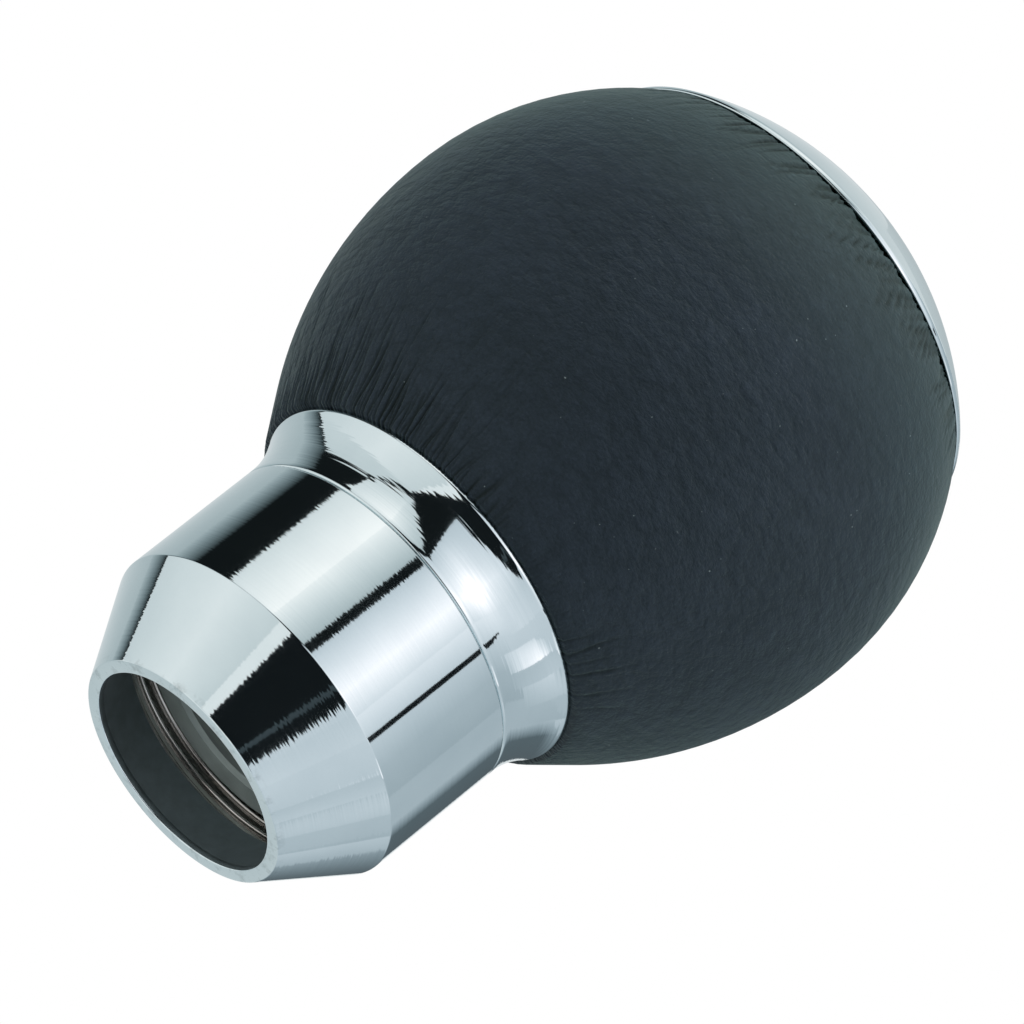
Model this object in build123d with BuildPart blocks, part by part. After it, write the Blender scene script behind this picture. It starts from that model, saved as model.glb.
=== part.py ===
"""Gear shift knob: a leather covered ball on a turned neck, closed below by a screwed sleeve.

The knob stands on the ring of its mouth. Z runs up its axis from the face of that ring, and every
size is in millimetres.
"""
import os
from math import acos, asin, degrees, radians, sin, tan

from build123d import *

# Lever socket and the neck around it
lever_bore_dia = 16.0
lever_bore_depth = 34.0
bore_chamfer = 0.35
neck_wall = 3.2
neck_chamfer = 0.5
mouth_depth = 6.9
stem_end_wall = 3.0

# Hexagon of the stem that the ball is moulded around
hex_wall = 3.0
hex_thickness = 4.0
hex_height = 9.0

# Lock sleeve
sleeve_wall = 3.72
sleeve_length = 20.1
nose_length = 7.7
nose_ring_width = 1.15
mouth_margin = 1.2
mouth_lip = 0.6
relief_length = 7.2
thread_relief = 0.4
edge_chamfer = 0.25
nose_round = 0.15

# Black ring that lines the mouth
liner_length = 4.1
liner_wall = 0.8
liner_edge = 0.8

# Headless clamping screws in the neck
screw_count = 3
screw_dia = 5.0
screw_length = 2.7
screw_setback = 4.2
screw_point_chamfer = 0.6
screw_socket_width = 2.5
screw_socket_depth = 1.3

# Flared collar
collar_length = 5.7
collar_flare = 1.55
collar_lip = 0.3
collar_land = 0.5

# Leather covered ball
ball_dia = 52.4
belly_height = 24.0
crown_height = 16.0
neck_overhang = 0.55
flank_length = 5.0
leather_thickness = 1.2
leather_round = 0.7

# Gathers where the leather is drawn in above the collar
gather_count = 72
gather_depth = 0.5
gather_long = 12.0
gather_middle = 9.0
gather_short = 5.5
gather_flare = 45.0
gather_drift = 0.25

# Top cap
cap_setback = 5.2
cap_rim = 0.4
cap_rise = 9.2
cap_wall = 1.8
cap_spigot_dia = 12.0
cap_spigot_length = 6.0
cap_round = 0.15

# Clearances
thread_clearance = 0.08
collar_clearance = 0.08
liner_clearance = 0.05
screw_clearance = 0.05
spigot_clearance = 0.05
mould_gap = 0.05
wrap_gap = 0.1
leather_gap = 0.3

# Radii and heights that follow from the sizes above
bore_r = lever_bore_dia / 2
neck_r = bore_r + neck_wall
mouth_r = bore_r + mouth_margin
nose_r = mouth_r + nose_ring_width
thread_r = neck_r + thread_clearance
relief_r = thread_r + thread_relief
sleeve_r = thread_r + sleeve_wall
lip_r = sleeve_r + collar_flare
ball_r = ball_dia / 2
cap_r = ball_r - cap_setback
leather_neck_r = lip_r + neck_overhang
spigot_r = cap_spigot_dia / 2

liner_top = mouth_lip + liner_length
thread_height = sleeve_length - relief_length
screw_height = sleeve_length - screw_setback
stem_top = mouth_depth + lever_bore_depth + stem_end_wall
collar_top = sleeve_length + collar_length
hex_bottom = collar_top + hex_height
hex_width = 2 * (neck_r + hex_wall)
equator = collar_top + belly_height
cap_seat = equator + crown_height

# The ball is a sphere above its belly; below, an arc leads from the belly into a straight flank
flank_run = ball_r - leather_neck_r
flank_climb = (flank_length + belly_height) / 2 - flank_run**2 / (2 * (flank_length + belly_height))
flank_lean = Vector(flank_run, flank_climb).normalized()
flank_normal = Vector(flank_lean.Y, -flank_lean.X)

# The cap's dome is part of a sphere that meets the top of its rim, and its hollow ends at the seat
dome_radius = (cap_r**2 + cap_rise**2) / (2 * cap_rise)
dome_centre = cap_seat + cap_rim + cap_rise - dome_radius
hollow_radius = dome_radius - cap_wall
rim_angle = degrees(acos(cap_r / dome_radius))
hollow_angle = degrees(asin((cap_seat - dome_centre) / hollow_radius))

os.makedirs("parts", exist_ok=True)


def save(part, name):
    """Name one finished piece and write it."""
    part.label = name
    export_step(part, f"parts/{name}.step")


def ball_outline(inset):
    """Half section of the ball, inset square to its surface, from collar to cap."""
    foot = Vector(leather_neck_r - inset / flank_lean.Y, collar_top)
    knee = Vector(leather_neck_r, collar_top) + flank_lean * flank_length - flank_normal * inset
    radius = ball_r - inset
    crown = CenterArc((0, equator), radius, 0, degrees(asin(crown_height / radius)))
    Line(foot, knee)
    TangentArc(knee, crown @ 0, tangent=flank_lean)
    Polyline(crown @ 1, (0, cap_seat), (0, collar_top), foot)


def gather_cutter(length):
    """Wedge whose sharp edge runs from below the leather's foot out to its surface."""
    foot = Vector(leather_neck_r, collar_top)
    start = foot - flank_normal * gather_depth
    run = foot + flank_lean * length - start
    along = Vector(run.X, 0, run.Y).normalized()
    below = Vector(start.X, 0, start.Y) - along * leather_thickness
    mouth = 2 * leather_thickness
    half_width = mouth * tan(radians(gather_flare))
    with BuildPart() as cutter:
        with BuildSketch(Plane(origin=below, x_dir=(0, -1, 0), z_dir=along)):
            with BuildLine():
                Polyline((0, 0), (half_width, mouth), (-half_width, mouth), close=True)
            make_face()
        extrude(amount=run.length + leather_thickness)
    return cutter.part


# Gathers lie round the neck with a slow drift, so that no two gaps are quite alike
gather_cutters = [gather_cutter(length) for length in (gather_long, gather_short, gather_middle)]
gather_step = 360 / gather_count
gather_turns = [gather_step * (i + gather_drift * sin(i * i)) for i in range(gather_count)]

# Tapped hole for one clamping screw, from the axis out through the neck
with BuildPart() as screw_hole:
    with BuildSketch(Plane.YZ):
        with Locations((0, screw_height)):
            Circle(screw_dia / 2 + screw_clearance)
    extrude(amount=neck_r + neck_wall)

# Stem: neck with the lever socket, a hexagon and a closed top
with BuildPart() as stem:
    with BuildSketch(Plane.XZ):
        with BuildLine():
            Polyline(
                (bore_r, mouth_depth),
                (neck_r, mouth_depth),
                (neck_r, stem_top),
                (0, stem_top),
                (0, stem_top - stem_end_wall),
                (bore_r, stem_top - stem_end_wall),
                close=True,
            )
        make_face()
    revolve(axis=Axis.Z)
    with BuildSketch(Plane.XY.offset(hex_bottom)):
        RegularPolygon(hex_width / 2, 6, major_radius=False)
        Circle(neck_r, mode=Mode.SUBTRACT)
    extrude(amount=hex_thickness)
    mouth_edges = stem.edges().filter_by(GeomType.CIRCLE).group_by(Axis.Z)[0].sort_by(SortBy.RADIUS)
    chamfer(mouth_edges[0], bore_chamfer)
    chamfer(mouth_edges[-1], neck_chamfer)
    with PolarLocations(0, screw_count):
        add(screw_hole.part, mode=Mode.SUBTRACT)
save(stem.part, "stem")

# Grub screws: flush in the neck, with a point chamfer inside and a hexagon socket outside
screw_head = Plane(origin=(bore_r + (neck_wall + screw_length) / 2, 0, screw_height), z_dir=(1, 0, 0))
with BuildPart() as screw:
    with BuildSketch(screw_head):
        Circle(screw_dia / 2)
    extrude(amount=-screw_length)
    chamfer(screw.faces().sort_by(Axis.X)[0].edges(), screw_point_chamfer)
    with BuildSketch(screw_head):
        RegularPolygon(screw_socket_width / 2, 6, major_radius=False)
    extrude(amount=-screw_socket_depth, mode=Mode.SUBTRACT)
with BuildPart() as grub_screws:
    with PolarLocations(0, screw_count):
        add(screw.part)
save(grub_screws.part, "grub_screws")

# Lock sleeve: cone nose, straight cylinder, liner seat, thread bore and relief
with BuildPart() as lock_sleeve:
    with BuildSketch(Plane.XZ):
        with BuildLine():
            Polyline(
                (mouth_r, 0),
                (nose_r, 0),
                (sleeve_r, nose_length),
                (sleeve_r, sleeve_length),
                (relief_r, sleeve_length),
                (relief_r, thread_height),
                (thread_r, thread_height),
                (thread_r, liner_top),
                (mouth_r + liner_wall, mouth_lip),
                (mouth_r, mouth_lip),
                close=True,
            )
        make_face()
    revolve(axis=Axis.Z)
    rings = lock_sleeve.edges().filter_by(GeomType.CIRCLE).group_by(Axis.Z)
    chamfer(rings[-1].sort_by(SortBy.RADIUS)[-1], edge_chamfer)
    fillet(rings[0], nose_round)
save(lock_sleeve.part, "lock_sleeve")

# Mouth liner: thin cone ring on the seat behind the lip
with BuildPart() as mouth_liner:
    with BuildSketch(Plane.XZ):
        with BuildLine():
            Polyline(
                (mouth_r, mouth_lip),
                (mouth_r + liner_wall - liner_clearance, mouth_lip),
                (thread_r - liner_clearance, liner_top),
                (thread_r - liner_edge, liner_top),
                close=True,
            )
        make_face()
    revolve(axis=Axis.Z)
save(mouth_liner.part, "mouth_liner")

# Flare collar: a short land above the split, then a hollow flare up to a thin lip
with BuildPart() as flare_collar:
    with BuildSketch(Plane.XZ):
        with BuildLine():
            land_top = sleeve_length + collar_land
            TangentArc((sleeve_r, land_top), (lip_r, collar_top - collar_lip), tangent=(0, 1))
            Polyline(
                (lip_r, collar_top - collar_lip),
                (lip_r, collar_top),
                (neck_r + collar_clearance, collar_top),
                (neck_r + collar_clearance, sleeve_length),
                (sleeve_r, sleeve_length),
                (sleeve_r, land_top),
            )
        make_face()
    revolve(axis=Axis.Z)
    foot_rings = flare_collar.edges().filter_by(GeomType.CIRCLE).group_by(Axis.Z)[0]
    chamfer(foot_rings.sort_by(SortBy.RADIUS)[-1], edge_chamfer)
save(flare_collar.part, "flare_collar")

# Core: the moulded ball, with the stem's cavity below and the cap's socket above
with BuildPart() as core:
    with BuildSketch(Plane.XZ):
        with BuildLine():
            ball_outline(leather_thickness + wrap_gap)
        make_face()
    revolve(axis=Axis.Z)
    with BuildSketch(Plane.XY.offset(collar_top)):
        Circle(neck_r + mould_gap)
    extrude(amount=stem_top + mould_gap - collar_top, mode=Mode.SUBTRACT)
    with BuildSketch(Plane.XY.offset(hex_bottom - mould_gap)):
        RegularPolygon(hex_width / 2 + mould_gap, 6, major_radius=False)
    extrude(amount=hex_thickness + 2 * mould_gap, mode=Mode.SUBTRACT)
    with BuildSketch(Plane.XY.offset(cap_seat)):
        Circle(spigot_r + spigot_clearance)
    extrude(amount=-cap_spigot_length - spigot_clearance, mode=Mode.SUBTRACT)
save(core.part, "core")

# Leather cover: an even skin over the core, rolled in at both ends and gathered at the neck
with BuildPart() as leather_cover:
    with BuildSketch(Plane.XZ):
        with BuildLine():
            ball_outline(0)
        make_face()
    revolve(axis=Axis.Z)
    with BuildSketch(Plane.XZ):
        with BuildLine():
            ball_outline(leather_thickness)
        make_face()
    revolve(axis=Axis.Z, mode=Mode.SUBTRACT)
    split(bisect_by=Plane.XY.offset(collar_top + leather_gap), keep=Keep.TOP)
    split(bisect_by=Plane.XY.offset(cap_seat - leather_gap), keep=Keep.BOTTOM)
    hems = leather_cover.edges().group_by(Axis.Z)
    fillet(hems[0].sort_by(SortBy.LENGTH)[-1], leather_round)
    fillet(hems[-1].sort_by(SortBy.LENGTH)[-1], leather_round)
    for kind, cutter in enumerate(gather_cutters):
        turns = gather_turns[kind::len(gather_cutters)]
        with Locations(*[Location((0, 0, 0), (0, 0, turn)) for turn in turns]):
            add(cutter, mode=Mode.SUBTRACT)
save(leather_cover.part, "leather_cover")

# Top cap: a dome on a short rim, hollow, with a spigot for the core
with BuildPart() as top_cap:
    with BuildSketch(Plane.XZ):
        with BuildLine():
            dome = CenterArc((0, dome_centre), dome_radius, rim_angle, 90 - rim_angle)
            Polyline(dome @ 1, (0, cap_seat), (cap_r, cap_seat), dome @ 0)
        make_face()
    revolve(axis=Axis.Z)
    with BuildSketch(Plane.XZ):
        with BuildLine():
            roof = CenterArc((0, dome_centre), hollow_radius, hollow_angle, 90 - hollow_angle)
            Polyline(roof @ 1, (0, cap_seat), roof @ 0)
        make_face()
    revolve(axis=Axis.Z, mode=Mode.SUBTRACT)
    with BuildSketch(Plane.XY.offset(cap_seat - cap_spigot_length)):
        Circle(spigot_r)
    extrude(amount=cap_spigot_length + cap_rim + cap_rise - cap_wall / 2)
    rim = top_cap.faces().filter_by(Axis.Z).sort_by(Axis.Z)[-1]
    fillet(rim.edges().sort_by(SortBy.LENGTH)[-1], cap_round)
save(top_cap.part, "top_cap")
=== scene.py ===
# %% [markdown]
# # A gear shift knob: leather ball, chrome collar, cap and sleeve
# The knob stands on the ring of its mouth, with Z up its axis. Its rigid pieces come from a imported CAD
# frame, and this lesson dresses them: the chrome is turned again as smooth lathe work, the leather gets
# its gathers and grain, and a small studio of boards gives the chrome something to mirror.

import math
import random

import bmesh
import bpy
from mathutils import Matrix, Vector, noise


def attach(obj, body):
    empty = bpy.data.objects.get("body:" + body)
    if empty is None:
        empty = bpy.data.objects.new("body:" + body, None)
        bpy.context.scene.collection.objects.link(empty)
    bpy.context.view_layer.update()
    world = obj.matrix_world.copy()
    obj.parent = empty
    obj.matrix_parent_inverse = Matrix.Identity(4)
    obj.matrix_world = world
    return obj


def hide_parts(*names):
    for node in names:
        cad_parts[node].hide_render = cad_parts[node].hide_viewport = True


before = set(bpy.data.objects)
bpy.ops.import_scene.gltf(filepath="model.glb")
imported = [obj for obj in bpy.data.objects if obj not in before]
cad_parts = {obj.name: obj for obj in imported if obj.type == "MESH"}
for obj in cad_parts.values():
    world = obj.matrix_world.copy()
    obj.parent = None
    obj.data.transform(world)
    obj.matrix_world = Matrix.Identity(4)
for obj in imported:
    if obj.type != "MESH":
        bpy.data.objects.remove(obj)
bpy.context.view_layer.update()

# %% [markdown]
# ## Camera
# The photograph looks into the mouth, from below the ring that the knob stands on, with the axis running
# up and to the right. A camera can be aimed by eye, but here its tilt, roll and distance were measured
# from the circles of the mouth and the sleeve, so the matrix is built from those numbers.

# %% Camera
MM = 0.001
IMAGE_SIDE = 1024
SENSOR_MM = 36
FOCAL_PIXELS = 8000
VIEW_TILT = math.radians(27.332)
VIEW_ROLL = math.radians(38.554)
NOSE_RIGHT, NOSE_UP, NOSE_AHEAD = -25.35, -20.00, 614.39

ahead = Vector((0, math.cos(VIEW_TILT), math.sin(VIEW_TILT)))
level_right = Vector((1, 0, 0))
level_up = Vector((0, -math.sin(VIEW_TILT), math.cos(VIEW_TILT)))
view_right = level_right * math.sin(VIEW_ROLL) + level_up * math.cos(VIEW_ROLL)
view_up = level_up * math.sin(VIEW_ROLL) - level_right * math.cos(VIEW_ROLL)

camera_data = bpy.data.cameras.new("photo_camera")
camera_data.sensor_width = SENSOR_MM
camera_data.lens = FOCAL_PIXELS / IMAGE_SIDE * SENSOR_MM
camera_data.clip_start = 0.01
camera = bpy.data.objects.new("photo_camera", camera_data)
bpy.context.collection.objects.link(camera)
camera_place = -(view_right * NOSE_RIGHT + view_up * NOSE_UP + ahead * NOSE_AHEAD) * MM
camera_turn = Matrix((view_right, view_up, -ahead)).transposed().to_4x4()
camera.matrix_world = Matrix.Translation(camera_place) @ camera_turn
scene = bpy.context.scene
scene.camera = camera
scene.view_settings.view_transform = "Standard"
print("camera at", [round(c, 4) for c in camera_place], "lens", round(camera_data.lens, 1))

# %% [markdown]
# ## Small helpers
# Every finished mesh goes through one helper, which merges doubles, turns the faces outwards and shades
# them smooth. The others each add a node or two to a material. Patterns are placed by object coordinates,
# so they stay on a piece when it moves.

# %% Mesh helper
MERGE = 1e-7


def add_piece(bm, name, material):
    """Close, smooth and link one mesh, at the origin."""
    bmesh.ops.remove_doubles(bm, verts=bm.verts, dist=MERGE)
    bmesh.ops.recalc_face_normals(bm, faces=bm.faces)
    for face in bm.faces:
        face.smooth = True
    mesh = bpy.data.meshes.new(name)
    bm.to_mesh(mesh)
    bm.free()
    piece = bpy.data.objects.new(name, mesh)
    bpy.context.collection.objects.link(piece)
    mesh.materials.append(material)
    print(name, "faces", len(mesh.polygons))
    return piece


print("pieces are merged at", MERGE, "m")

# %% Node helpers


def start_finish(name):
    """A new material with its nodes, links and main shader."""
    material = bpy.data.materials.new(name)
    material.use_nodes = True
    tree = material.node_tree
    return material, tree.nodes, tree.links, tree.nodes["Principled BSDF"]


def object_coords(nodes):
    """Coordinates in metres from the knob's origin."""
    return nodes.new("ShaderNodeTexCoord").outputs["Object"]


def object_height(nodes, links):
    """The height in metres above the ring that the knob stands on."""
    split = nodes.new("ShaderNodeSeparateXYZ")
    links.new(object_coords(nodes), split.inputs[0])
    return split.outputs["Z"]


def length_of(nodes, links, vector):
    """The length of a vector."""
    length = nodes.new("ShaderNodeVectorMath")
    length.operation = "LENGTH"
    links.new(vector, length.inputs[0])
    return length.outputs["Value"]


def place_pattern(nodes, links, scale):
    """Object coordinates, scaled for one pattern."""
    mapping = nodes.new("ShaderNodeMapping")
    mapping.inputs["Scale"].default_value = scale
    links.new(object_coords(nodes), mapping.inputs["Vector"])
    return mapping.outputs["Vector"]


def noise_at(nodes, links, scale, detail, roughness=0.5):
    """Noise with so many lumps to the metre along each axis."""
    texture = nodes.new("ShaderNodeTexNoise")
    texture.inputs["Scale"].default_value = 1
    texture.inputs["Detail"].default_value = detail
    texture.inputs["Roughness"].default_value = roughness
    links.new(place_pattern(nodes, links, scale), texture.inputs["Vector"])
    return texture.outputs["Fac"]


def combined(nodes, links, operation, first, second, clamp=False):
    """Two values put together by one operation."""
    step = nodes.new("ShaderNodeMath")
    step.operation = operation
    step.use_clamp = clamp
    links.new(first, step.inputs[0])
    links.new(second, step.inputs[1])
    return step.outputs[0]


def ranged(nodes, links, value, start, end, low=0, high=1, smooth=False):
    """Map a value from start..end to low..high, and no further."""
    mapped = nodes.new("ShaderNodeMapRange")
    if smooth:
        mapped.interpolation_type = "SMOOTHSTEP"
    mapped.inputs["From Min"].default_value = start
    mapped.inputs["From Max"].default_value = end
    mapped.inputs["To Min"].default_value = low
    mapped.inputs["To Max"].default_value = high
    links.new(value, mapped.inputs["Value"])
    return mapped.outputs["Result"]


def spread(nodes, links, value, low, high):
    """Map a value from 0..1 to low..high."""
    return ranged(nodes, links, value, 0, 1, low, high)


def ramp_between(nodes, links, value, start, dark, end, pale):
    """A colour that runs from dark at start to pale at end."""
    ramp = nodes.new("ShaderNodeValToRGB")
    for element, position, colour in zip(ramp.color_ramp.elements, (start, end), (dark, pale)):
        element.position = position
        element.color = (*colour, 1)
    links.new(value, ramp.inputs["Fac"])
    return ramp.outputs["Color"]


def blend_in(nodes, links, tone, colour, amount):
    """Blend a fixed colour into a tone, by an amount from 0 to 1."""
    mix = nodes.new("ShaderNodeMix")
    mix.data_type = "RGBA"
    mix.inputs["B"].default_value = (*colour, 1)
    links.new(amount, mix.inputs["Factor"])
    links.new(tone, mix.inputs["A"])
    return mix.outputs["Result"]


def times_tone(nodes, links, tone, pattern):
    """Multiply a tone by a pattern."""
    mix = nodes.new("ShaderNodeMix")
    mix.data_type = "RGBA"
    mix.blend_type = "MULTIPLY"
    mix.inputs["Factor"].default_value = 1
    links.new(tone, mix.inputs["A"])
    links.new(pattern, mix.inputs["B"])
    return mix.outputs["Result"]


def bump_from(nodes, links, height, strength, distance, below=None):
    """A bump, laid over the one below it if there is one."""
    bump = nodes.new("ShaderNodeBump")
    bump.inputs["Strength"].default_value = strength
    bump.inputs["Distance"].default_value = distance
    links.new(height, bump.inputs["Height"])
    if below:
        links.new(below, bump.inputs["Normal"])
    return bump.outputs["Normal"]


def mixed_shader(nodes, links, amount, first, second):
    """Mix two shaders, by an amount from 0 to 1."""
    mix = nodes.new("ShaderNodeMixShader")
    links.new(amount, mix.inputs["Fac"])
    links.new(first, mix.inputs[1])
    links.new(second, mix.inputs[2])
    return mix.outputs[0]


print("helpers ready")

# %% [markdown]
# ## World
# The backdrop is pure white, yet a white world would wash out the leather. Light Path splits the two
# jobs: rays from the camera and rays mirrored by metal see white at a strength of 1, and the rays that
# light the matt surfaces see a quieter grey.

# %% World
AMBIENT, FULL_WHITE = 0.38, 1

world = bpy.data.worlds.new("studio_world")
scene.world = world
world.use_nodes = True
nodes = world.node_tree.nodes
links = world.node_tree.links
nodes.clear()
paths = nodes.new("ShaderNodeLightPath")
white_rays = combined(nodes, links, "MAXIMUM", paths.outputs["Is Camera Ray"],
                      paths.outputs["Is Glossy Ray"])
white_rays = combined(nodes, links, "MAXIMUM", white_rays, paths.outputs["Is Transmission Ray"])
lights = []
for strength in (AMBIENT, FULL_WHITE):
    background = nodes.new("ShaderNodeBackground")
    background.inputs["Color"].default_value = (1, 1, 1, 1)
    background.inputs["Strength"].default_value = strength
    lights.append(background.outputs[0])
world_out = nodes.new("ShaderNodeOutputWorld")
links.new(mixed_shader(nodes, links, white_rays, *lights), world_out.inputs["Surface"])
print("world ready, ambient", AMBIENT)

# %% [markdown]
# ## Floor
# The floor only has to be pale and to hold the knob's shadow. It shows to the camera from above, fades
# into the white around it, and lets every other ray through, so the view into the mouth stays open.

# %% Floor
FLOOR_RADIUS, FLOOR_CLEAR, FLOOR_SIDES = 0.5, 0.12, 96
PAPER_DARK = (0.86, 0.865, 0.865)
PAPER_PALE = (0.88, 0.885, 0.885)
PAPER_LUMPS = (90, 90, 90)

floor_finish, nodes, links, shader = start_finish("pale_floor")
shader.inputs["Roughness"].default_value = 0.9
shader.inputs["Specular IOR Level"].default_value = 0.0
paper = noise_at(nodes, links, PAPER_LUMPS, 3)
links.new(ramp_between(nodes, links, paper, 0.3, PAPER_DARK, 0.7, PAPER_PALE), shader.inputs["Base Color"])
reach = length_of(nodes, links, object_coords(nodes))
fade = ranged(nodes, links, reach, FLOOR_CLEAR, FLOOR_RADIUS, smooth=True)
paths = nodes.new("ShaderNodeLightPath")
geometry = nodes.new("ShaderNodeNewGeometry")
from_above = combined(nodes, links, "SUBTRACT", paths.outputs["Is Camera Ray"],
                      geometry.outputs["Backfacing"], clamp=True)
shown = combined(nodes, links, "SUBTRACT", from_above, fade, clamp=True)
clear = nodes.new("ShaderNodeBsdfTransparent")
links.new(mixed_shader(nodes, links, shown, clear.outputs[0], shader.outputs[0]),
          nodes["Material Output"].inputs["Surface"])

bm = bmesh.new()
bmesh.ops.create_circle(bm, cap_ends=True, segments=FLOOR_SIDES, radius=FLOOR_RADIUS)
floor = add_piece(bm, "floor", floor_finish)
if floor.data.polygons[0].normal.z < 0:
    floor.data.flip_normals()

# %% [markdown]
# ## Lamps
# The leather is brightest towards the cap, so one large soft lamp hangs above the knob on the camera's
# side. Three weaker ones, from the far left, from the right and from below, keep the rim of the ball and
# the mouth from sinking into black. Chrome would show them as white squares, so mirrored rays skip them.

# %% Lamps
LAMP_AIM = Vector((0, 0, 45)) * MM
LAMP_DISTANCE = 0.9


def soft_lamp(name, direction, size, power):
    """A square area lamp that looks at the ball and isn't mirrored."""
    data = bpy.data.lights.new(name, "AREA")
    data.shape = "SQUARE"
    data.size = size
    data.energy = power
    lamp = bpy.data.objects.new(name, data)
    bpy.context.collection.objects.link(lamp)
    lamp.location = LAMP_AIM + Vector(direction).normalized() * LAMP_DISTANCE
    lamp.rotation_euler = Vector(direction).to_track_quat("Z", "Y").to_euler()
    lamp.visible_glossy = False
    print(name, "size", size, "power", power)


soft_lamp("key_lamp", direction=(-0.10, -0.5, 0.85), size=0.6, power=6.3)
soft_lamp("rim_lamp", direction=(-0.9, -0.1, 0.35), size=0.5, power=1.9)
soft_lamp("side_lamp", direction=(0.85, -0.33, 0.46), size=0.5, power=5.2)
soft_lamp("fill_lamp", direction=(-0.45, -0.6, -0.66), size=0.5, power=2.0)

# %% [markdown]
# ## Boards around the knob
# Chrome has no look of its own: it shows the room. In a studio, white, grey and black boards stand
# around the object, and their edges draw the crisp bands on the sleeve. Each board here is a grid bent
# onto a large sphere. It is given by the compass direction and height of its four corners, from the left
# foot round to the left head, and by how bright it is at each of them. Only mirrored rays can see it.

# %% Boards
BOARD_DISTANCE, BOARD_STEP, BOARD_CELLS = 3.0, 0.05, 10
LESS_RED, MORE_BLUE = 0.24, 0.08
RIGHT_BLUE, RIGHT_FROM = 0.05, 262

board_finish = bpy.data.materials.new("studio_board")
board_finish.use_nodes = True
nodes = board_finish.node_tree.nodes
links = board_finish.node_tree.links
nodes.remove(nodes["Principled BSDF"])
glow = nodes.new("ShaderNodeEmission")
shade_of = nodes.new("ShaderNodeAttribute")
shade_of.attribute_name = "shade"
links.new(shade_of.outputs["Color"], glow.inputs["Color"])
links.new(glow.outputs[0], nodes["Material Output"].inputs["Surface"])


def blend_corners(corners, across, climb):
    """A value between four corners: left foot, right foot, right head, left head."""
    foot = corners[0] * (1 - across) + corners[1] * across
    head = corners[3] * (1 - across) + corners[2] * across
    return foot * (1 - climb) + head * climb


def tinted(brightness, turn):
    """The colour of a board: darker ones are a little bluer, and so are those to the right."""
    dim = 1 - brightness
    blue = 1 + MORE_BLUE * dim + (RIGHT_BLUE if turn > RIGHT_FROM else 0)
    return brightness * (1 - LESS_RED * dim), brightness, brightness * blue, 1


def board(name, corners, shades, layer):
    """One bent board, a little nearer to the knob with each layer."""
    bm = bmesh.new()
    shade = bm.verts.layers.float_color.new("shade")
    bmesh.ops.create_grid(bm, x_segments=BOARD_CELLS, y_segments=BOARD_CELLS, size=0.5)
    places = [Vector(corner) for corner in corners]
    for vert in bm.verts:
        across = vert.co.x + 0.5
        climb = vert.co.y + 0.5
        turn, lift = [math.radians(angle) for angle in blend_corners(places, across, climb)]
        vert[shade] = tinted(blend_corners(shades, across, climb), corners[1][0])
        vert.co = (math.cos(turn) * math.cos(lift), math.sin(turn) * math.cos(lift), math.sin(lift))
        vert.co *= BOARD_DISTANCE - BOARD_STEP * layer
    piece = add_piece(bm, name, board_finish)
    piece.visible_camera = False
    piece.visible_diffuse = False
    piece.visible_transmission = False
    piece.visible_volume_scatter = False
    piece.visible_shadow = False


print("boards stand at", BOARD_DISTANCE, "m")

# %% [markdown]
# The pale boards come first. To the left they are grey and sink into black, between the black flags they
# are white with a soft hot spot, and to the right they fade to grey and then to a dark corner.

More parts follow.
